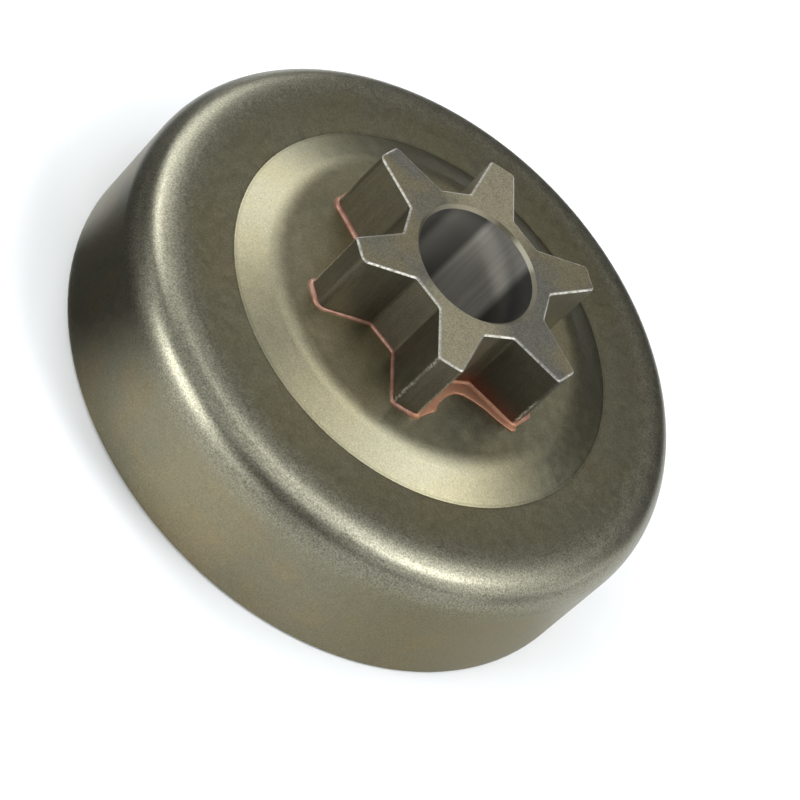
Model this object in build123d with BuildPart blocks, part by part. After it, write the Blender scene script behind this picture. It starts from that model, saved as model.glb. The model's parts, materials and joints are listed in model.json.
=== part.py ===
from build123d import *
import os
from math import cos, pi, radians, sqrt, tan

# Chainsaw clutch drum: a cup drawn from sheet steel, a spur sprocket set in its crown, and the copper
# that brazes the two together. Millimetres. The origin is the centre of the rim plane, +Z runs along
# the axis to the sprocket, and +X runs along the first tooth.

# Drawn cup
drum_diameter = 72.0
drum_height = 17.7  # rim plane to the flat of the crown
sheet_thickness = 2.2
shoulder_radius = 4.9  # outside, from the wall into the crown
rim_chamfer = 0.3
boss_foot_diameter = 49.4  # where the raised centre of the crown begins
boss_rise = 1.65  # flat of the crown to the top of the boss
boss_slope = 19.5  # degrees
boss_round = 7.5  # outside radius, from the slope into the top of the boss

# Sprocket
tooth_count = 6
tip_diameter = 32.1  # across two opposite tip flats
root_diameter = 19.1  # across two opposite root flats
tip_width = 3.2
flank_angle = 11.8  # degrees off the tooth's centre line
tooth_length = 9.5  # along the axis, from the boss to the front face
tip_radius = 0.5
worn_tip_radius = 0.9
worn_teeth = (3, 4)  # teeth whose leading tip corner is worn rounder, counted from +X
root_radius = 0.6
front_edge = 0.2  # chamfer round the front face
bore_diameter = 15.0
bore_chamfer = 0.4
root_ledge = 0.55  # root flats to the spigot, on the radius
spigot_stand = 2.0  # past the inside of the crown

# Copper
braze_gap = 0.05  # spigot to the hole in the crown, on the radius
bead_leg = 0.4  # width and height of the bead at the foot of the teeth
bead_bevel = 0.3
film_thickness = 0.15  # puddle between the last tooth and the first
film_reach = 1.8  # edge of the puddle from the root flat between those teeth
film_on_last = ((1.0, 0.2), (0.8, 1.1), (0.65, 1.7), (0.4, 1.6))  # share of the tooth, distance off it
film_on_first = ((0.4, 1.5), (0.7, 1.1), (1.0, 0.9), (1.1, 0.3))

drum_radius = drum_diameter / 2
seat_height = drum_height + boss_rise
front_height = seat_height + tooth_length
crown_inside = seat_height - sheet_thickness
spigot_radius = root_diameter / 2 - root_ledge
hole_radius = spigot_radius + braze_gap
boss_top_radius = boss_foot_diameter / 2 - boss_rise / tan(radians(boss_slope))
bend_shift = sheet_thickness * tan(radians(boss_slope / 2))  # inside of a bend to its outside, on the radius
inside_bevel = (shoulder_radius - sheet_thickness) * (2 - sqrt(2))  # keeps the sheet's thickness there
tip_reach = tip_diameter / 2
tooth_pitch = 360 / tooth_count


def on_tooth(tooth, reach, across=0.0):
    """A point of the tooth's own plane: reach out from the axis, across towards its leading side."""
    return Vector(reach, across).rotate(Axis.Z, tooth * tooth_pitch)


def off_flank(tooth, side, share, distance):
    """A point beside a tooth, at a share of its depth from root to tip and a distance off the flank."""
    depth = (1 - share) * (tip_diameter - root_diameter) / 2
    half_width = tip_width / 2 + depth * tan(radians(flank_angle))
    return on_tooth(tooth, tip_reach - depth, side * (half_width + distance))


def cup_bend(radius, height):
    """The round edge of the cup that passes at a radius and a height."""
    return cup.edges().filter_by(GeomType.CIRCLE).sort_by_distance((radius, 0, height))[0]


def reach_of(corner):
    """Distance of an outline's corner from the axis."""
    return corner.center().length


# Cup: the section of the bent sheet, up its outside and back down its inside, turned about the axis
with BuildPart() as cup:
    with BuildSketch(Plane.XZ):
        with BuildLine():
            Polyline(
                (drum_radius, 0),
                (drum_radius, drum_height),
                (boss_foot_diameter / 2, drum_height),
                (boss_top_radius, seat_height),
                (hole_radius, seat_height),
                (hole_radius, crown_inside),
                (boss_top_radius - bend_shift, crown_inside),
                (boss_foot_diameter / 2 - bend_shift, drum_height - sheet_thickness),
                (drum_radius - sheet_thickness, drum_height - sheet_thickness),
                (drum_radius - sheet_thickness, 0),
                close=True,
            )
        make_face()
    revolve(axis=Axis.Z)
    fillet(cup_bend(drum_radius, drum_height), shoulder_radius)
    fillet(cup_bend(boss_top_radius, seat_height), boss_round)
    chamfer(cup_bend(drum_radius - sheet_thickness, drum_height - sheet_thickness), inside_bevel)
    chamfer(cup.edges().group_by(Axis.Z)[0], rim_chamfer)

# Outline of the teeth: a polygon of root flats with a tapered tooth on each of its corners
with BuildSketch(Plane.XY.offset(seat_height)) as outline:
    tooth_depth = tip_reach - root_diameter / 2 * cos(pi / tooth_count)
    foot_width = tip_width + 2 * tooth_depth * tan(radians(flank_angle))
    RegularPolygon(root_diameter / 2, tooth_count, major_radius=False)
    with PolarLocations(tip_reach, tooth_count):
        Trapezoid(
            foot_width,
            tooth_depth,
            90 - flank_angle,
            rotation=-90,
            align=(Align.CENTER, Align.MAX),
        )
    worn_corners = [
        outline.vertices().sort_by_distance(on_tooth(tooth, tip_reach, tip_width / 2))[0]
        for tooth in worn_teeth
    ]
    fillet(worn_corners, worn_tip_radius)
    fillet(outline.vertices().group_by(reach_of)[-1], tip_radius)
    fillet(outline.vertices().group_by(reach_of)[0], root_radius)

# Sprocket: teeth on the boss, a spigot through the crown and a bore from end to end
with BuildPart() as sprocket:
    extrude(outline.sketch, amount=tooth_length)
    chamfer(sprocket.faces().sort_by(Axis.Z)[-1].edges(), front_edge)
    with BuildSketch(Plane.XY.offset(seat_height)):
        Circle(spigot_radius)
    extrude(amount=-(sheet_thickness + spigot_stand))
    with Locations((0, 0, front_height)):
        Hole(bore_diameter / 2)
    bore_wall = sprocket.faces().filter_by(GeomType.CYLINDER).sort_by(SortBy.AREA)[-1]
    chamfer(bore_wall.edges().sort_by(Axis.Z)[-1], bore_chamfer)

# Bead: copper round the foot of the teeth, with a thin puddle between the last tooth and the first
with BuildPart() as bead:
    with BuildSketch(Plane.XY.offset(seat_height)):
        add(outline.sketch_local)
        offset(amount=bead_leg)
        add(outline.sketch_local, mode=Mode.SUBTRACT)
    extrude(amount=bead_leg)
    chamfer(bead.faces().sort_by(Axis.Z)[-1].outer_wire().edges(), bead_bevel)
    with BuildSketch(Plane.XY.offset(seat_height)):
        with BuildLine():
            edge = Spline(
                [off_flank(-1, 1, share, distance) for share, distance in film_on_last]
                + [on_tooth(-0.5, root_diameter / 2 + film_reach)]
                + [off_flank(0, -1, share, distance) for share, distance in film_on_first]
            )
            middle = tip_reach - tip_width
            Polyline(edge @ 1, on_tooth(0, middle), (0, 0), on_tooth(-1, middle), edge @ 0)
        make_face()
        add(outline.sketch_local, mode=Mode.SUBTRACT)
    extrude(amount=film_thickness)

# Ring: copper where the spigot comes out inside the cup
with BuildPart() as ring:
    with BuildSketch(Plane.XZ):
        Polygon(
            (spigot_radius, crown_inside),
            (spigot_radius, crown_inside - bead_leg),
            (hole_radius + bead_leg, crown_inside),
            align=None,
        )
    revolve(axis=Axis.Z)

nodes = {
    "drum_cup": cup,
    "drive_sprocket": sprocket,
    "braze_bead": bead,
    "inner_braze_ring": ring,
}
os.makedirs("parts", exist_ok=True)
for node, piece in nodes.items():
    piece.part.label = node
    export_step(piece.part, f"parts/{node}.step")
    print(node, round(piece.part.volume, 1), "cubic millimetres")
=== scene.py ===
# %% [markdown]
# # The clutch drum of a chainsaw
# A drum like this sits on the end of a chainsaw's crankshaft. Clutch shoes swing out against the inside
# of its wall, and the six teeth on its crown pull the chain round. The cup is drawn from sheet steel,
# the toothed sprocket is a separate piece, and a seam of copper brazes the two together.
#
# The solids come measured from the CAD model, in metres, with the rim on the floor and the axis along
# Z. This lesson gives them their finish, lays the copper seam again as a hand-made line of metal, and
# sets up a small studio. Nothing that the CAD model fixed is moved or resized.

# %% Load the measured solids
import json
from math import atan2, cos, hypot, pi, radians, sin, tan

import bpy
from mathutils import Matrix, Vector


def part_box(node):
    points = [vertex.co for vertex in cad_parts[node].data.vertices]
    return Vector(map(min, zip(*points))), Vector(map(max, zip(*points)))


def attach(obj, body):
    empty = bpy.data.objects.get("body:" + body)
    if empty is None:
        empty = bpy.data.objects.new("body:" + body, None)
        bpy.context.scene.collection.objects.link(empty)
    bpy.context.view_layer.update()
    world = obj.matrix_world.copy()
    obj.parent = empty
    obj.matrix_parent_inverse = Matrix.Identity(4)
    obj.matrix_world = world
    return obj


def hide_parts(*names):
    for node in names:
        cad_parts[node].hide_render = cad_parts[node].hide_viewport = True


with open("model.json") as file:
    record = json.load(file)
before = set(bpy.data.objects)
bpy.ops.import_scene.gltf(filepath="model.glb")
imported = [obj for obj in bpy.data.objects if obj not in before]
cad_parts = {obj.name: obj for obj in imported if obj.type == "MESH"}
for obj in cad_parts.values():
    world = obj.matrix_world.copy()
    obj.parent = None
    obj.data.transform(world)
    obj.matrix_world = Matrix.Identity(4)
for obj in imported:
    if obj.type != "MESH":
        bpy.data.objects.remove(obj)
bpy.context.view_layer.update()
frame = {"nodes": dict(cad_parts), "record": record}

MM = 0.001
solids = frame["nodes"]
print("solids:", sorted(solids))

# %% [markdown]
# ## The sizes that the finishes follow
# A finish looks right when it knows where it is: wear belongs on edges, grain on the bend that was
# stretched, rubbed bands in the bore. So the script measures the solids once and keeps the sizes in
# millimetres. The rest are the drum's own drawing sizes, which the boxes of the solids can't tell.

# %% Measure the solids
_, drum_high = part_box("drum_cup")
_, teeth_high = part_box("drive_sprocket")
mounts = {mount["name"]: mount for mount in frame["record"]["mounts"]}

wall_radius = drum_high.x / MM
seat_height = drum_high.z / MM
front_height = teeth_high.z / MM
tip_reach = teeth_high.x / MM
bore_radius = mounts["bearing_bore"]["dims"]["r_mm"]
friction_radius = mounts["clutch_wall"]["dims"]["r_mm"]
print(f"drum {2 * wall_radius:.1f} mm across and {front_height:.2f} mm high")
print(f"bore {2 * bore_radius:.1f} mm across")

# %% Add the drawing sizes
sheet = 2.2
shoulder_radius = 4.9
boss_rise = 1.65
boss_foot_radius = 24.7
boss_round_inner, boss_round_outer = 18.75, 21.26  # ends of the round above the boss's slope
root_reach = 9.55
tip_half_width = 1.6
flank_slope = tan(radians(11.8))
front_edge = 0.2
bore_edge = 0.4
tooth_count = 6

tooth_pitch = 2 * pi / tooth_count
crown_height = seat_height - boss_rise
crown_reach = wall_radius - shoulder_radius
shoulder_foot = crown_height - shoulder_radius
print(f"the flat of the crown ends {crown_reach:.1f} mm from the axis, {crown_height:.1f} mm up")

# %% [markdown]
# ## Nodes written as sums
# A finish is arithmetic: a mask times a colour, a distance less a width. Clicking that together takes
# dozens of boxes. Two small classes let it be written as a formula instead. A Wire is one output of a
# node, and adding or multiplying wires adds the Math nodes. A Graph adds any other node by its type,
# with its settings first and then its sockets. The same two serve the materials and the geometry.


# %% Wires
class Wire:
    """One output of a node. Arithmetic on it adds Math nodes to the same graph."""

    def __init__(self, graph, socket):
        self.graph = graph
        self.socket = socket

    def maths(self, operation, *values):
        return self.graph.add("ShaderNodeMath", dict(enumerate(values)), operation=operation)

    def __add__(self, other):
        return self.maths("ADD", self, other)

    def __radd__(self, other):
        return self.maths("ADD", other, self)

    def __sub__(self, other):
        return self.maths("SUBTRACT", self, other)

    def __rsub__(self, other):
        return self.maths("SUBTRACT", other, self)

    def __mul__(self, other):
        return self.maths("MULTIPLY", self, other)

    def __rmul__(self, other):
        return self.maths("MULTIPLY", other, self)

    def __truediv__(self, other):
        return self.maths("DIVIDE", self, other)

    def __lt__(self, other):
        return self.maths("LESS_THAN", self, other)

    def __gt__(self, other):
        return self.maths("GREATER_THAN", self, other)

    def __abs__(self):
        return self.maths("ABSOLUTE", self)

    def least(self, other):
        return self.maths("MINIMUM", self, other)

    def most(self, other):
        return self.maths("MAXIMUM", self, other)


# %% Graphs
class Graph:
    """A node tree that is being built."""

    def __init__(self, tree):
        self.tree = tree

    def feed(self, socket, value):
        if isinstance(value, Wire):
            self.tree.links.new(value.socket, socket)
        else:
            socket.default_value = value

    def add(self, kind, sockets=None, output=0, **settings):
        node = self.tree.nodes.new(kind)
        for name, value in settings.items():
            setattr(node, name, value)
        for name, value in (sockets or {}).items():
            self.feed(node.inputs[name], value)
        return Wire(self, node.outputs[output]) if node.outputs else None

    def parts(self, vector):
        split = self.add("ShaderNodeSeparateXYZ", {"Vector": vector})
        return [Wire(self, out) for out in split.socket.node.outputs]

    def vector(self, x, y, z):
        return self.add("ShaderNodeCombineXYZ", {"X": x, "Y": y, "Z": z})

    def shift(self, vector, x, y, z):
        return self.add("ShaderNodeVectorMath", {0: vector, 1: (x, y, z)}, operation="ADD")

    def stretch(self, vector, x, y, z):
        return self.add("ShaderNodeVectorMath", {0: vector, 1: (x, y, z)}, operation="MULTIPLY")

    def angle(self, x, y):
        """The angle of a point round the axis, in radians."""
        return self.add("ShaderNodeMath", {0: y, 1: x}, operation="ARCTAN2")

    def ramp(self, value, start, end):
        """0 before start, 1 after end, eased between them. Start may lie above end."""
        sockets = {"Value": value, "From Min": start, "From Max": end}
        return self.add("ShaderNodeMapRange", sockets, interpolation_type="SMOOTHSTEP")

    def sector(self, turn, start, full, fade, end):
        """1 between the angles full and fade, eased to 0 at start and end. All four are in degrees."""
        rise = self.ramp(turn, radians(start), radians(full))
        return rise * self.ramp(turn, radians(end), radians(fade))

    def noise(self, vector, scale, detail=2.0, roughness=0.5):
        sockets = {"Vector": vector, "Scale": scale, "Detail": detail, "Roughness": roughness}
        return self.add("ShaderNodeTexNoise", sockets)


# %% [markdown]
# ## A finish and its place
# A Finish is a graph for one material. It turns Object coordinates into millimetres, so that every width
# in a mask is a width on the drum. Its helpers mix colours, make them lighter or darker, scatter specks
# and dent the surface. One helper mends the shading. Where a flat of the solid runs into a bend, the
# solid's stored normals jump by a few degrees, which bare metal shows as a thin ring. A very low step in
# the bump height, over the width of that jump, takes the ring out again.


# %% Finishes
class Finish(Graph):
    """A material that is being mixed, with its place on the object in millimetres."""

    def __init__(self, name):
        self.material = bpy.data.materials.new(name)
        self.material.use_nodes = True
        super().__init__(self.material.node_tree)
        self.shader = self.tree.nodes["Principled BSDF"]
        metres = self.add("ShaderNodeTexCoord", output="Object")
        self.place = self.stretch(metres, 1 / MM, 1 / MM, 1 / MM)
        self.x, self.y, self.z = self.parts(self.place)
        squares = self.x * self.x + self.y * self.y
        self.reach = self.add("ShaderNodeMath", {0: squares}, operation="SQRT")

    def blend(self, mask, below, above):
        sockets = {"Factor": mask, 6: below, 7: above}
        return self.add("ShaderNodeMix", sockets, output=2, data_type="RGBA")

    def tone(self, colour, brightness):
        """A colour made lighter or darker without a change of hue."""
        sockets = {"Factor": 1.0, 6: colour, 7: self.vector(brightness, brightness, brightness)}
        return self.add("ShaderNodeMix", sockets, output=2, data_type="RGBA", blend_type="MULTIPLY")

    def specks(self, size, spacing, share, offset=0.0):
        """1 inside small round specks, one in some cells of a grid that wide."""
        place = self.shift(self.place, offset, offset, offset)
        cells = {"Vector": place, "Scale": 1 / spacing}
        distance = self.add("ShaderNodeTexVoronoi", cells)
        draw = self.parts(self.add("ShaderNodeTexVoronoi", cells, output="Color"))[0]
        return self.ramp(distance, size / spacing, 0.4 * size / spacing) * (draw < share)

    def dents(self, height):
        """A normal from a height in millimetres."""
        return self.add("ShaderNodeBump", {"Strength": 1.0, "Distance": MM, "Height": height})

    def ease(self, distance, width, jump):
        """The height, in millimetres, that takes a jump in degrees out of a bend's shading."""
        share = (distance / width).most(0.0).least(1.0)
        return share * (2 - share) * (0.5 * width * tan(radians(jump)))

    def shade(self, **sockets):
        for name, value in sockets.items():
            self.feed(self.shader.inputs[name.replace("_", " ").title()], value)
        print(f"{self.material.name}: {len(self.tree.nodes)} nodes")
        return self.material


# %% [markdown]
# ## Drawn sheet steel
# The cup is pressed from flat sheet, heated when it is brazed, and left without paint. What is left is
# a dull olive skin with browner and greyer clouds, fine grain and a few bright specks. The raised boss
# is painted lighter, as painted light, and the crown round it is a little paler. Where the sheet was
# bent over the punch its crystals stood up like orange peel, so the rounded shoulder glitters in its
# highlight; its greyer tint there is a painted highlight tint. The inside of the wall is different:
# shoes rub it bright, and a lathe turned it true.
#
# One material with masks does this, because the cup is one piece. The masks use the height and the
# distance from the axis, so the grain ends exactly where the bend ends.

# %% Name the colours of the steel
OLIVE = (0.200, 0.186, 0.128, 1)
BROWN_OLIVE = (0.208, 0.186, 0.118, 1)
# painted highlight tint: greyer and lighter, it makes the shoulder's highlights look whiter
SHOULDER_HIGHLIGHT_TINT = (0.222, 0.210, 0.160, 1)
STAIN = (0.232, 0.192, 0.116, 1)
BARE_STEEL = (0.62, 0.60, 0.55, 1)
SOOT = (0.05, 0.045, 0.035, 1)
print("olive skin:", OLIVE[:3])


# %% Shape the shading of the drum's bends
bulge_height = 0.42  # the upper shoulder is shaded a little flatter, and then sharper, than a plain round
crown_jump, wall_jump = (0.59, 3.5), (0.59, 3.3)  # width in millimetres and jump in degrees
boss_jump, slope_jump = (0.64, 2.4), (0.61, 2.3)


def bend_height(steel):
    """The height, in millimetres, that evens out the jumps at both ends of both bends."""
    crown_end = steel.ease(steel.reach - crown_reach, *crown_jump)
    wall_end = steel.ease(steel.z - shoulder_foot, *wall_jump)
    boss_end = steel.ease(steel.reach - boss_round_inner, *boss_jump)
    slope_end = steel.ease(boss_round_outer - steel.reach, *slope_jump)
    return crown_end + wall_end + boss_end + slope_end


# %% Colour the drum by its bends, with painted light on the boss
def drum_skin(steel, clouds, wall, shoulder):
    """Olive clouds, a greyer shoulder as painted highlight tint, stains on the wall, a paler boss as
    painted light.
    """
    patches = steel.noise(steel.shift(steel.place, 11.0, 4.0, 0.0), 0.20, 2.0, 0.5)
    skin = steel.blend(steel.ramp(clouds, 0.34, 0.66), OLIVE, BROWN_OLIVE)
    # painted highlight tint on the shoulder, where its highlights fall
    skin = steel.blend(shoulder * 0.8, skin, SHOULDER_HIGHLIGHT_TINT)
    # a paler ring painted on the crown round the boss
    paler_ring = steel.ramp(steel.reach, 29.5, 25.0) * (steel.reach > boss_foot_radius)
    raised = (steel.reach < boss_foot_radius) * (steel.z > crown_height)
    # painted light: the whole raised boss is made lighter, its top more than its slope
    boss_painted_light = raised * (0.15 + 0.35 * steel.ramp(steel.reach, 20.5, 18.0))
    skin = steel.tone(skin, 1.0 + 0.12 * paler_ring + boss_painted_light)
    return steel.blend(steel.ramp(patches, 0.42, 0.66) * wall * 0.8, skin, STAIN)


# %% Mix the drum's finish
def mix_drum_steel():
    steel = Finish("drum_steel_olive")
    shoulder = steel.ramp(steel.z, shoulder_foot - 2.0, shoulder_foot + 2.5)
    shoulder = shoulder * steel.ramp(steel.reach, crown_reach - 2.5, crown_reach + 1.0)
    in_cup = (steel.reach < wall_radius - sheet / 2) * (steel.z < crown_height - sheet + 0.2)
    under_crown = (steel.reach < crown_reach) * (steel.z < crown_height - 0.3)
    rubbed = in_cup.most(under_crown) * (steel.reach > friction_radius - 0.3)
    wall = steel.ramp(steel.z, shoulder_foot + 1.0, shoulder_foot - 2.0)

    clouds = steel.noise(steel.place, 0.09, 3.0, 0.55)
    mottle = steel.noise(steel.place, 0.95, 2.0, 0.55)
    grain = steel.noise(steel.place, 5.0, 2.0, 0.6)
    rings = steel.noise(steel.vector(0.0, 0.0, steel.z + 0.8 * clouds), 1.5, 3.0, 0.6)
    turned = steel.noise(steel.vector(0.0, 0.0, steel.z), 7.0, 3.0, 0.7)

    skin = drum_skin(steel, clouds, wall, shoulder)
    skin = steel.tone(skin, 0.88 + 0.22 * mottle + 0.12 * wall * (rings - 0.5))
    skin = steel.tone(skin, 1.0 + (0.85 + 1.25 * shoulder) * (grain - 0.5))
    # painted shade along the foot of the boss: a dark line in its crease and one on the edge just above
    foot_crease_shade = steel.ramp(abs(steel.reach - boss_foot_radius - 0.16), 0.16, 0.04)
    foot_ridge_shade = steel.ramp(abs(steel.reach - boss_foot_radius + 0.20), 0.16, 0.04)
    skin = steel.tone(skin, 1.0 - 0.14 * foot_crease_shade - 0.16 * foot_ridge_shade)
    bright = steel.specks(0.08, 1.2, 0.20)
    dark = steel.specks(0.10, 1.6, 0.22, 40.0)
    skin = steel.blend(bright * 0.4, skin, BARE_STEEL)
    skin = steel.blend(dark * (1 - shoulder) * 0.45, skin, SOOT)
    skin = steel.blend(rubbed * 0.75, skin, BARE_STEEL)

    relief = grain * (0.14 + 0.26 * shoulder) * (1 - rubbed) + turned * rubbed * 0.4
    bulge = steel.ramp(steel.reach, crown_reach + 0.2, crown_reach + 3.9) * (1 - rubbed)
    return steel.shade(
        base_color=skin,
        metallic=1.0,
        roughness=0.29 + 0.10 * mottle + 0.05 * wall * rings + 0.02 * shoulder - 0.10 * rubbed,
        normal=steel.dents(relief * 0.030 + bulge * bulge_height + bend_height(steel)),
    )


drum_steel = mix_drum_steel()

# %% [markdown]
# ## The sprocket's steel
# The sprocket is pressed from powder or cut from bar, and ground on its front face and in its bore. Its
# front is matte and speckled, its flanks are dark, and every edge of the front face has a thin bright
# line: partly bare steel worn there, partly a painted highlight on the chamfer. To know how near an edge
# a point is, the finish folds the six teeth onto one: it works out the point's angle within its own
# tooth, then its depth under the tip, the flank and the root flat.

# %% Name the colours of the sprocket
FRONT_GREY = (0.150, 0.142, 0.118, 1)
FRONT_BROWN = (0.190, 0.166, 0.108, 1)
# painted sheen on the front of two opposite teeth
FRONT_PAINTED_SHEEN = (0.315, 0.280, 0.190, 1)
FLANK = (0.144, 0.129, 0.094, 1)
# the red of the copper, painted on a flank as its reflection
COPPER_REFLECTION_TINT = (0.20, 0.080, 0.052, 1)
GROUND = (0.94, 0.88, 0.76, 1)
RIM_DULL = (0.19, 0.17, 0.125, 1)
RIM_GLINT = (0.40, 0.37, 0.29, 1)
# the colour of the painted sheen on the front
print("polished front:", FRONT_PAINTED_SHEEN[:3])


# %% Fold the six teeth onto one
def tooth_depths(steel, turn):
    """Depths in millimetres: under the tip, under the flank, and under the nearest edge of all."""
    fold = turn.maths("WRAP", turn, tooth_pitch / 2, -tooth_pitch / 2)
    along = steel.reach * fold.maths("COSINE", fold)
    across = abs(steel.reach * fold.maths("SINE", fold))
    gap_fold = tooth_pitch / 2 - abs(fold)
    root_depth = root_reach - steel.reach * gap_fold.maths("COSINE", gap_fold)
    tip_depth = tip_reach - along
    flank_depth = (tip_half_width + tip_depth * flank_slope - across) * cos(atan2(flank_slope, 1))
    return tip_depth, flank_depth, tip_depth.least(flank_depth).most(root_depth)


# %% [markdown]
# ### The bore and its rim
# A needle bearing runs in the bore. Its light and shade are painted in: a bright band along the axis on
# one side, with fairly sharp edges, and duller bands beside it. The masks are sectors round the axis. The
# mouth of the bore has a painted shadow that leaves it darker than its depth. A glint is painted on one
# side of the small chamfer at the mouth.


# %% Colour the bore and its rim
def bore_colour_with_painted_light(steel, turn, axial, streaks):
    """Painted light: bright on one side, duller beside that, darker round the far side and near the
    mouth.
    """
    # painted light: a lit band and a dimmer one, as sectors round the axis; the streaks are the grinding
    rubbed = steel.sector(turn, 58, 70, 114, 122)
    dull = steel.sector(turn, 110, 118, 146, 162)
    bands = 0.13 + 0.80 * rubbed * (0.7 + 0.6 * axial) + 0.09 * dull + 0.06 * streaks
    bands = bands * (1.0 - 0.5 * steel.ramp(turn, radians(150), radians(165)))
    # painted shadow: the mouth is darker, along a slanting edge
    deep = steel.z - 3.0 * (turn - pi / 2)
    deep = steel.ramp(deep, front_height - 1.6, front_height - 5.8)
    return steel.tone(GROUND, bands * (0.22 + 0.78 * deep))


def rim_skin(steel, turn):
    """A painted glint on one side of the chamfer, and a painted shadow next to it."""
    glint = steel.ramp(abs(turn - radians(75)), 0.32, 0.18)
    shadow = steel.ramp(abs(turn - radians(103)), 0.21, 0.10)
    return steel.tone(steel.blend(glint, RIM_DULL, RIM_GLINT), 1.0 - 0.5 * shadow)


# %% Colour the front face and the flanks
sheen_way = radians(120)


def front_skin(steel, clouds):
    """Grey and brown clouds, and a painted sheen on the two teeth that lie along one line."""
    along = steel.x * cos(sheen_way) + steel.y * sin(sheen_way)
    front = steel.blend(steel.ramp(clouds, 0.40, 0.60), FRONT_GREY, FRONT_BROWN)
    # painted sheen: lighter along one line across the front
    return steel.blend(steel.ramp(abs(along) / steel.reach, 0.70, 0.97) * 0.85, front, FRONT_PAINTED_SHEEN)


def painted_flank_reflections(steel, skin, turn, on_flank, on_side, wobble):
    """Painted reflections on the flanks of the gap where the copper ran out: darkened, and tinted copper
    red.
    """
    # painted reflection: the flank is darkened where it mirrors dark surroundings
    dark_reflection_paint = on_flank * (turn < 0.0) * steel.ramp(turn, -tooth_pitch / 2, -tooth_pitch / 2 + 0.05)
    skin = steel.tone(skin, 1.0 - 0.40 * dark_reflection_paint)
    # painted reflection: a red tint of the copper puddle on the flank above it
    copper_reflected = on_side * steel.ramp(steel.z + wobble, seat_height + 4.6, seat_height + 1.4)
    copper_reflected = copper_reflected * steel.ramp(turn, -tooth_pitch / 2 - 0.05, -tooth_pitch / 2 + 0.10)
    return steel.blend(copper_reflected * (turn < 0.0) * 0.7, skin, COPPER_REFLECTION_TINT)


# %% Mix the sprocket's finish
def mix_sprocket_steel():
    steel = Finish("sprocket_steel_worn")
    turn = steel.angle(steel.x, steel.y)
    tip_depth, flank_depth, depth = tooth_depths(steel, turn)

    below_front = front_height - steel.z
    on_front = below_front < 0.005
    on_side = (below_front > 0.005) * (steel.reach > bore_radius + bore_edge + 0.1)
    in_bore = (steel.reach < bore_radius + 0.05) * (steel.z < front_height - bore_edge)
    bore_rim = (steel.reach < bore_radius + bore_edge + 0.02) * (below_front > 0.005) * (1 - in_bore)
    chamfer = on_side * steel.ramp(below_front, front_edge + 0.02, front_edge - 0.02)
    on_flank = on_side * (1 - chamfer)

    chips = steel.noise(steel.place, 2.6, 3.0, 0.65)
    grain = steel.noise(steel.place, 5.5, 2.0, 0.6)
    mottle = steel.noise(steel.place, 0.9, 3.0, 0.6)
    clouds = steel.noise(steel.shift(steel.place, 7.0, 3.0, 0.0), 0.16, 2.0, 0.5)
    axial = steel.noise(steel.stretch(steel.place, 1.0, 1.0, 0.04), 2.0, 2.0, 0.55)
    streaks = steel.noise(steel.stretch(steel.place, 1.0, 1.0, 0.03), 0.42, 2.0, 0.5)
    scratches = steel.noise(steel.stretch(steel.place, 1.0, 1.0, 0.05), 5.0, 2.0, 0.6)

    flank = steel.tone(FLANK, 0.65 + 0.35 * axial + 0.35 * scratches)
    skin = steel.blend(on_flank, front_skin(steel, clouds), flank)
    speckle = (0.22 + 0.20 * on_front) * (steel.ramp(grain, 0.3, 0.7) - 0.5)
    skin = steel.tone(skin, 0.87 + speckle + 0.26 * mottle)
    skin = steel.blend(in_bore, skin, bore_colour_with_painted_light(steel, turn, axial, streaks))
    skin = steel.blend(steel.specks(0.12, 0.55, 0.45) * on_front * 0.40, skin, SOOT)
    skin = steel.blend(steel.specks(0.10, 0.5, 0.40, 30.0) * on_front * 0.20, skin, BARE_STEEL)
    skin = painted_flank_reflections(steel, skin, turn, on_flank, on_side, 1.6 * mottle + 1.2 * chips)

    # painted highlight: a bright line along the chamfer, broken up by the chips
    glint = chamfer * steel.ramp(abs(below_front - 0.5 * front_edge), 0.10, 0.06)
    glint = glint * (0.25 + 0.75 * steel.ramp(chips, 0.36, 0.56))
    lip = on_front * steel.ramp(depth - front_edge - 0.14 * chips, 0.03, -0.03)
    corner = on_side * steel.ramp(tip_depth + flank_depth - 0.5 * (chips - 0.5), 0.34, 0.12)
    rubbed = corner * steel.ramp(clouds, 0.36, 0.52) * steel.ramp(chips, 0.34, 0.52)
    # worn bare steel on lips and corners, together with the painted highlight on the chamfer
    wear_and_glint = glint.most(lip * 0.35).most(rubbed * 0.8)
    skin = steel.blend(wear_and_glint * 0.9, skin, BARE_STEEL)
    skin = steel.blend(bore_rim * 0.8, skin, rim_skin(steel, turn))

    relief = grain * (0.25 + 0.40 * on_front) * (1 - in_bore)
    relief = relief + axial * 0.10 * on_side + axial * 0.12 * in_bore
    return steel.shade(
        base_color=skin,
        metallic=1.0 - 0.85 * in_bore,
        roughness=0.42 + 0.16 * mottle + 0.06 * in_bore - 0.10 * wear_and_glint,
        normal=steel.dents(relief * 0.030),
    )


sprocket_steel = mix_sprocket_steel()

# %% [markdown]
# ## Copper from the brazing oven
# The copper ran as a liquid and froze without polish, so it is a satin salmon pink with redder, duller
# patches where air reached it while it was hot. It is more orange where it ran out between two teeth.

# %% Name the colours of the copper
COPPER_SATIN = (0.37, 0.212, 0.155, 1)
COPPER_DULL = (0.26, 0.122, 0.085, 1)
COPPER_RUN_OUT = (0.37, 0.178, 0.10, 1)
print("satin copper:", COPPER_SATIN[:3])


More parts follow.
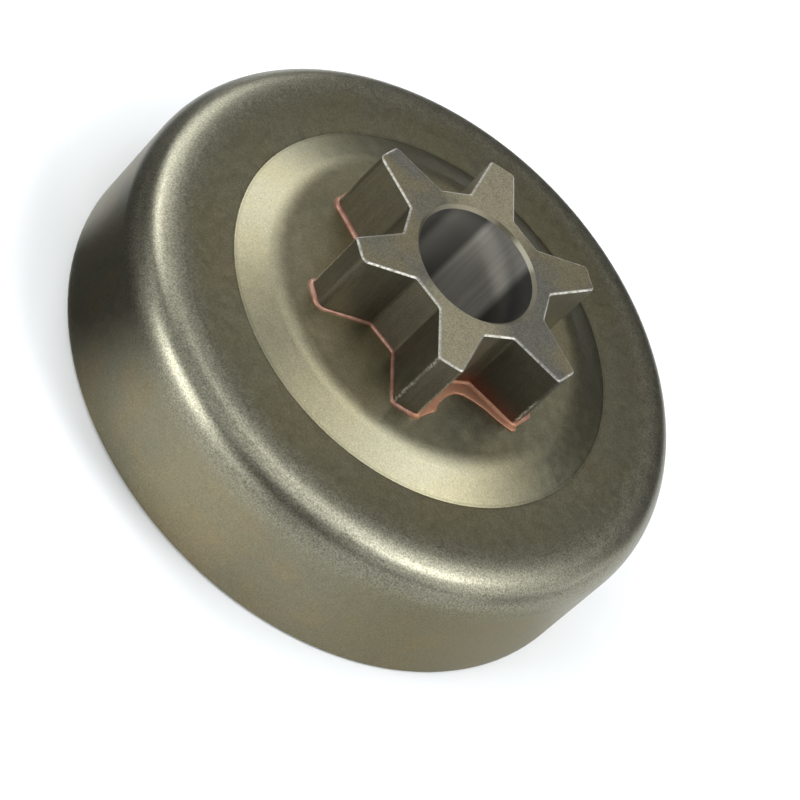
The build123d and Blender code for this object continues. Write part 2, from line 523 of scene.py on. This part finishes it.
# %% Mix the copper's finish
def mix_copper():
    copper = Finish("braze_copper_satin")
    heat = copper.noise(copper.place, 0.7, 3.0, 0.6)
    ripple = copper.noise(copper.place, 3.0, 2.0, 0.5)
    turn = copper.angle(copper.x, copper.y)
    run_out = copper.ramp(turn, radians(-60), radians(-54)) * (turn < 0.0)
    skin = copper.blend(copper.ramp(heat, 0.35, 0.7), COPPER_SATIN, COPPER_DULL)
    skin = copper.blend(run_out * 0.8, skin, COPPER_RUN_OUT)
    return copper.shade(
        base_color=skin,
        metallic=0.7,
        roughness=0.45 + 0.2 * heat,
        normal=copper.dents(ripple * 0.03),
    )


braze_copper = mix_copper()

# %% [markdown]
# ## The copper seam
# A brazed seam follows the foot of the teeth, but no oven lays it evenly: it swells, thins and wanders.
# Geometry Nodes suit a line that follows a path. The path is the outline of the sprocket where it meets
# the boss, read from the solid itself. The tree resamples it, lets noise change its width, thins it on
# one stretch, and sweeps a small circle along it. Half of that circle lies inside the steel, as the real
# fillet of copper does.


# %% Read the outline of the teeth where they meet the boss
def seat_outline():
    """The corners of the sprocket's outline at the boss, in order round the axis, in metres."""
    seat = []
    for vertex in solids["drive_sprocket"].data.vertices:
        point = vertex.co.copy()
        at_seat = abs(point.z / MM - seat_height) < 0.01
        if at_seat and hypot(point.x, point.y) / MM > root_reach - 0.2:
            seat.append(point)
    seat.sort(key=lambda point: atan2(point.y, point.x))
    kept = [seat[0]]
    for point in seat[1:]:
        if (point - kept[-1]).length > 0.02 * MM:
            kept.append(point)
    return kept


outline = seat_outline()
print(f"outline of the teeth: {len(outline)} points")


# %% Start a tree, and grow a mesh from it
def loop_object(name, points):
    """A closed line through points, as a mesh with edges alone."""
    mesh = bpy.data.meshes.new(name)
    edges = [(i, (i + 1) % len(points)) for i in range(len(points))]
    mesh.from_pydata(points, edges, [])
    piece = bpy.data.objects.new(name, mesh)
    bpy.context.scene.collection.objects.link(piece)
    return piece


def new_tree(name, inputs):
    """An empty geometry tree with named inputs: its graph and the wires of the inputs."""
    tree = bpy.data.node_groups.new(name, "GeometryNodeTree")
    for title, kind in inputs.items():
        tree.interface.new_socket(title, in_out="INPUT", socket_type=f"NodeSocket{kind}")
    tree.interface.new_socket("Geometry", in_out="OUTPUT", socket_type="NodeSocketGeometry")
    graph = Graph(tree)
    group = graph.add("NodeGroupInput").socket.node
    wires = {title: Wire(graph, group.outputs[title]) for title in inputs}
    return graph, wires


def close_tree(graph, geometry, material):
    """Smooth shading, real geometry and the material, then the tree's output."""
    geometry = graph.add("GeometryNodeSetShadeSmooth", {"Geometry": geometry})
    geometry = graph.add("GeometryNodeRealizeInstances", {"Geometry": geometry})
    geometry = graph.add("GeometryNodeSetMaterial", {"Geometry": geometry, "Material": material})
    graph.add("NodeGroupOutput", {"Geometry": geometry})
    return graph.tree


def grown(piece, tree, settings):
    """The plain mesh that a tree makes of a piece, with the piece's modifier removed again."""
    modifier = piece.modifiers.new(tree.name, "NODES")
    modifier.node_group = tree
    for item in tree.interface.items_tree:
        if item.in_out == "INPUT" and item.name in settings:
            modifier[item.identifier] = settings[item.name]
    ready = piece.evaluated_get(bpy.context.evaluated_depsgraph_get())
    mesh = bpy.data.meshes.new_from_object(ready)
    piece.modifiers.remove(modifier)
    return mesh


# %% Build the seam's tree
def seam_tree():
    graph, given = new_tree(
        "copper_seam_tree",
        {
            "Geometry": "Geometry",
            "Step": "Float",
            "Width": "Float",
            "Unevenness": "Float",
            "Thinning": "Float",
            "Seed": "Int",
            "Copper": "Material",
        },
    )
    line = graph.add("GeometryNodeMeshToCurve", {"Mesh": given["Geometry"]})
    steps = {"Curve": line, "Length": given["Step"]}
    line = graph.add("GeometryNodeResampleCurve", steps, mode="LENGTH")
    place = graph.add("GeometryNodeInputPosition")
    grain = {"Vector": place, "W": given["Seed"], "Scale": 0.45 / MM, "Detail": 2.0}
    waves = graph.add("ShaderNodeTexNoise", grain, noise_dimensions="4D")
    x, y, _ = graph.parts(place)
    starved = graph.sector(graph.angle(x, y), -119, -112, -60, -54)
    size = (1 + given["Unevenness"] * (waves - 0.5)) * (1 - given["Thinning"] * starved)
    circle = {"Resolution": 14, "Radius": given["Width"] * 0.5}
    ring = graph.add("GeometryNodeCurvePrimitiveCircle", circle)
    sweep = {"Curve": line, "Profile Curve": ring, "Scale": size}
    return close_tree(graph, graph.add("GeometryNodeCurveToMesh", sweep), given["Copper"])


# %% Lay the seam
seam_settings = {
    "Step": 0.25 * MM,
    "Width": 0.86 * MM,
    "Unevenness": 0.8,
    "Thinning": 0.36,
    "Seed": 5,
    "Copper": braze_copper,
}
seam = loop_object("copper_seam", outline)
seam.data = grown(seam, seam_tree(), seam_settings)
print(f"copper seam: {len(seam.data.polygons)} faces")

# %% [markdown]
# ## The copper puddle
# Between two of the teeth the copper ran out over the boss and froze as a thin film with a soft, uneven
# edge. The edge is drawn by a few points beside the two flanks, each a share of the way out along the
# tooth and a distance off it. A tree fills the closed line, lifts it by the film's thickness and rounds
# its rim by subdivision.

# %% Draw the puddle's edge
film_on_first = ((1.1, 0.1), (1.06, 0.95), (0.7, 1.3), (0.4, 1.6))
film_on_last = ((0.4, 1.6), (0.65, 1.7), (0.8, 1.1), (1.0, 0.2))
film_reach = 1.8
film_tuck = 0.985  # share of the outline's reach at which the film ends under the teeth


def on_tooth(tooth, reach, across):
    """A point at the boss, in metres: out along a tooth and across towards its leading side."""
    spin = Matrix.Rotation(tooth * tooth_pitch, 3, "Z")
    return spin @ Vector((reach, across, seat_height)) * MM


def off_flank(tooth, side, share, distance):
    """A point beside a tooth, at a share of its depth from root to tip and a distance off it."""
    depth = (1 - share) * (tip_reach - root_reach)
    return on_tooth(tooth, tip_reach - depth, side * (tip_half_width + depth * flank_slope + distance))


def puddle_edge():
    """The puddle's closed edge: its open side over the boss, then a line under the two teeth."""
    open_side = [off_flank(0, -1, share, distance) for share, distance in film_on_first]
    open_side += [on_tooth(-0.5, root_reach + film_reach, 0)]
    open_side += [off_flank(-1, 1, share, distance) for share, distance in film_on_last]
    between = [point for point in outline if -radians(57) < atan2(point.y, point.x) < -radians(3)]
    return open_side + [point * film_tuck for point in between]


film = loop_object("copper_puddle", puddle_edge())
print(f"edge of the puddle: {len(film.data.vertices)} points")


# %% Build the puddle's tree
def film_tree():
    graph, given = new_tree(
        "copper_film_tree",
        {
            "Geometry": "Geometry",
            "Step": "Float",
            "Height": "Float",
            "Thickness": "Float",
            "Raggedness": "Float",
            "Seed": "Int",
            "Copper": "Material",
        },
    )
    line = graph.add("GeometryNodeMeshToCurve", {"Mesh": given["Geometry"]})
    line = graph.add("GeometryNodeCurveSplineType", {"Curve": line}, spline_type="CATMULL_ROM")
    steps = {"Curve": line, "Length": given["Step"]}
    line = graph.add("GeometryNodeResampleCurve", steps, mode="LENGTH")
    place = graph.add("GeometryNodeInputPosition")
    grain = {"Vector": place, "W": given["Seed"], "Scale": 0.55 / MM, "Detail": 1.0}
    waves = graph.add("ShaderNodeTexNoise", grain, output="Color", noise_dimensions="4D")
    x, y, _ = graph.parts(waves)
    ragged = graph.vector((x - 0.5) * given["Raggedness"], (y - 0.5) * given["Raggedness"], 0.0)
    line = graph.add("GeometryNodeSetPosition", {"Geometry": line, "Offset": ragged})
    bottom = graph.add("GeometryNodeFillCurve", {"Curve": line}, mode="TRIANGLES")
    lift = {"Offset": graph.vector(0.0, 0.0, given["Thickness"]), "Offset Scale": 1.0}
    top = graph.add("GeometryNodeExtrudeMesh", {"Mesh": bottom, **lift, "Individual": False})
    film = graph.add("GeometryNodeJoinGeometry", {"Geometry": top})
    under = graph.add("GeometryNodeFlipFaces", {"Mesh": bottom})
    graph.feed(film.socket.node.inputs["Geometry"], under)
    film = graph.add("GeometryNodeMergeByDistance", {"Geometry": film, "Distance": 0.001 * MM})
    film = graph.add("GeometryNodeSubdivisionSurface", {"Mesh": film, "Level": 1})
    seat = graph.vector(0.0, 0.0, given["Height"])
    film = graph.add("GeometryNodeSetPosition", {"Geometry": film, "Offset": seat})
    return close_tree(graph, film, given["Copper"])


# %% Pour the puddle
film_settings = {
    "Step": 0.2 * MM,
    "Height": seat_height * MM,
    "Thickness": 0.16 * MM,
    "Raggedness": 0.18 * MM,
    "Seed": 3,
    "Copper": braze_copper,
}
film.data = grown(film, film_tree(), film_settings)
print(f"copper puddle: {len(film.data.polygons)} faces")

# %% [markdown]
# ## Seating and dressing
# The seam and the puddle stand in for the plain bead of the CAD model, so they replace it, and they ride
# on the one body that the drum has. The other solids keep their meshes and only change their material.

# %% Seat the copper and give the solids their finishes
for copper in (seam, film):
    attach(copper, "root")
    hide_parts("braze_bead")
for node, finish in (
    ("drum_cup", drum_steel),
    ("drive_sprocket", sprocket_steel),
    ("inner_braze_ring", braze_copper),
):
    solids[node].material_slots[0].material = finish
    print(node, "wears", finish.name)

# %% [markdown]
# ## Floor and cards
# Bare metal is a mirror that blurs, so it looks like whatever stands round it. The wall mirrors the floor
# close by. On a plain pale floor it would look flat and white, so two sheets of paper lie round the drum,
# as photographers do. They are painted reflections. The first is dark on the left, as painted shade on
# the floor, with an edge that swings away from the drum, so that the roundness shows. The second is white
# in front and grey on the right, as lighter and darker floor, and fades into the floor. The camera
# doesn't
# see them, and they cast no shadow: only the steel mirrors them.

# %% Lay the floor
PALE = (0.86, 0.86, 0.86, 1)
# painted shade on the floor, seen only as a reflection in the steel
MIRRORED_SHADE = (0.03, 0.03, 0.03, 1)
# a lighter and a darker floor, as painted reflections seen only in the steel
MIRRORED_LIGHT = (0.98, 0.98, 0.97, 1)
MIRRORED_DIM = (0.60, 0.585, 0.51, 1)


def lay(name, corners, material):
    """A flat sheet on the floor that isn't part of the drum."""
    mesh = bpy.data.meshes.new(name)
    mesh.from_pydata(corners, [], [range(len(corners))])
    mesh.materials.append(material)
    paper = bpy.data.objects.new(name, mesh)
    bpy.context.scene.collection.objects.link(paper)
    return paper


pale_floor = Finish("pale_floor").shade(base_color=PALE, roughness=0.6)
lay("floor", [(3 * x, 3 * y, 0) for x, y in ((-1, -1), (1, -1), (1, 1), (-1, 1))], pale_floor)


# %% Lay the cards
def mix_dark_card():
    """Dark between two angles from the left, farther round beside the drum than away from it."""
    card = Finish("dark_card")
    turn = card.angle(0.0 - card.x, 0.0 - card.y)
    edge = (radians(30) - radians(2.0) * (card.reach - wall_radius)).most(radians(-35))
    # painted shade: the dark sheet stands for shaded floor beside the drum, seen only in the steel
    dark = card.ramp(turn - edge, radians(-6), radians(6)) * card.ramp(turn, radians(75), radians(47))
    return card.shade(base_color=card.blend(dark, PALE, MIRRORED_SHADE), roughness=0.6)


def mix_grey_card():
    """White in front of the drum and grey on its right, fading into the floor farther out."""
    card = Finish("grey_card")
    turn = card.angle(card.x, card.y)
    near = card.ramp(card.reach, 3.0 * wall_radius, 1.3 * wall_radius)
    # painted reflection: a lighter floor in front and a darker one on the right, seen only in the steel
    white = near * card.sector(turn, -102, -95, -82, -68)
    grey = near * card.sector(turn, -62, -30, -2, 14)
    paper = card.blend(grey, card.blend(white, PALE, MIRRORED_LIGHT), MIRRORED_DIM)
    return card.shade(base_color=paper, roughness=0.6)


def fan(first, last):
    """The corners of a fan round the drum, just above the floor, between two angles in degrees."""
    angles = [radians(first + (last - first) * i / 32) for i in range(33)]
    inner, outer, height = wall_radius + 0.2, 8 * wall_radius, 0.05
    near = [Vector((inner * cos(angle), inner * sin(angle), height)) * MM for angle in angles]
    far = [Vector((outer * cos(angle), outer * sin(angle), height)) * MM for angle in angles]
    return far + near[::-1]


for card in (
    lay("dark_card", fan(130, 257), mix_dark_card()),
    lay("grey_card", fan(257, 377), mix_grey_card()),
):
    card.visible_camera = False
    card.visible_diffuse = False
    card.visible_shadow = False

# %% [markdown]
# ## Light
# The crown, the slope of the boss and the rounded shoulder mirror the room above the floor. The room is a
# ring of soft boxes, all a metre away: wide ones high on the right and on the left, a strong low one in
# front on the left that draws the long highlight on the shoulder, narrow strips along the floor, and weak
# ones that open the shadows. Their light is a little cool, which leaves the olive to the steel.


# %% Hang the lights
DAYLIGHT = (0.94, 0.975, 1.0)
WARM = (1.0, 0.96, 0.85)
soft_boxes = {  # azimuth and elevation in degrees with +X as azimuth 0, width and height in metres, watts
    "right_wide": (38, 62, 0.75, 0.42, 3.1),
    "right_high": (12, 58, 0.28, 0.28, 3.0),
    "right_middle": (36, 35, 0.45, 0.30, 0.6),
    "right_low": (5, 30, 0.40, 0.30, 1.15),
    "right_horizon": (36, 13, 0.50, 0.25, 0.9),
    "right_floor": (350, 10, 0.50, 0.15, 0.7),
    "left_wide": (143, 37, 0.65, 0.36, 3.1),
    "left_high": (167, 46, 0.30, 0.25, 1.9),
    "left_top": (135, 62, 0.30, 0.25, 0.4),
    "left_low": (143, 24, 0.40, 0.20, 0.5),
    "left_front": (205, 30, 0.40, 0.30, 0.6),
    "overhead": (90, 78, 0.40, 0.25, 1.3),
    "overhead_front": (300, 76, 0.30, 0.30, 1.0),
    "front_strip_left": (238, 19, 0.48, 0.30, 5.4),
    "front_strip": (255, 10, 0.35, 0.15, 0.9),
    "front_strip_middle": (275, 12, 0.35, 0.15, 0.7),
    "front_strip_right": (315, 12, 0.60, 0.15, 0.85),
    "front_high": (240, 60, 0.60, 0.50, 1.0),
    "front_right": (335, 40, 0.40, 0.30, 0.8),
}


def hang(name, azimuth, elevation, width, height, power, colour=DAYLIGHT):
    """A soft light a metre away that looks at the drum."""
    lamp = bpy.data.lights.new(name, "AREA")
    lamp.color = colour
    lamp.shape = "RECTANGLE"
    lamp.size = width
    lamp.size_y = height
    lamp.energy = power
    light = bpy.data.objects.new(name, lamp)
    turn, rise = radians(azimuth), radians(elevation)
    light.location = Vector((cos(rise) * cos(turn), cos(rise) * sin(turn), sin(rise)))
    light.rotation_euler = light.location.to_track_quat("Z", "Y").to_euler()
    bpy.context.scene.collection.objects.link(light)


for name, box in soft_boxes.items():
    hang(name, *box)
hang("backdrop_glow", 98, 45, 0.40, 0.30, 0.1, WARM)

world = bpy.data.worlds.new("studio_air")
bpy.context.scene.world = world
world.use_nodes = True
world.node_tree.nodes["Background"].inputs["Color"].default_value = (1, 1, 1, 1)
world.node_tree.nodes["Background"].inputs["Strength"].default_value = 0.05

# %% [markdown]
# ## Camera
# The photograph looks down on the crown from in front, and the picture is turned, so that the drum seems
# to lean. The camera's angles, its distance and its lens were fitted until the outline of the drum and
# the corners of the teeth lay where the photograph has them. A long lens keeps the circles calm, and
# everything is in focus. The plain view transform leaves the colours as the finishes give them.

# %% Set up the camera
azimuth, elevation, roll = 7.73, 42.5, 46.7
aim = Vector((6.2, -8.2, 14.5)) * MM
distance = 406.1 * MM

camera_data = bpy.data.cameras.new("camera")
camera_data.lens = 163.98
camera_data.sensor_width = 36.0
camera = bpy.data.objects.new("camera", camera_data)
bpy.context.scene.collection.objects.link(camera)
turn, rise = radians(azimuth), radians(elevation)
way = Vector((cos(rise) * sin(turn), -cos(rise) * cos(turn), sin(rise)))
level = way.to_track_quat("Z", "Y").to_matrix().to_4x4()
tilt = Matrix.Rotation(radians(roll), 4, "Z")
camera.matrix_world = Matrix.Translation(aim + way * distance) @ level @ tilt
bpy.context.scene.camera = camera
bpy.context.scene.view_settings.view_transform = "Standard"
print(f"camera {distance / MM:.0f} mm from the drum")
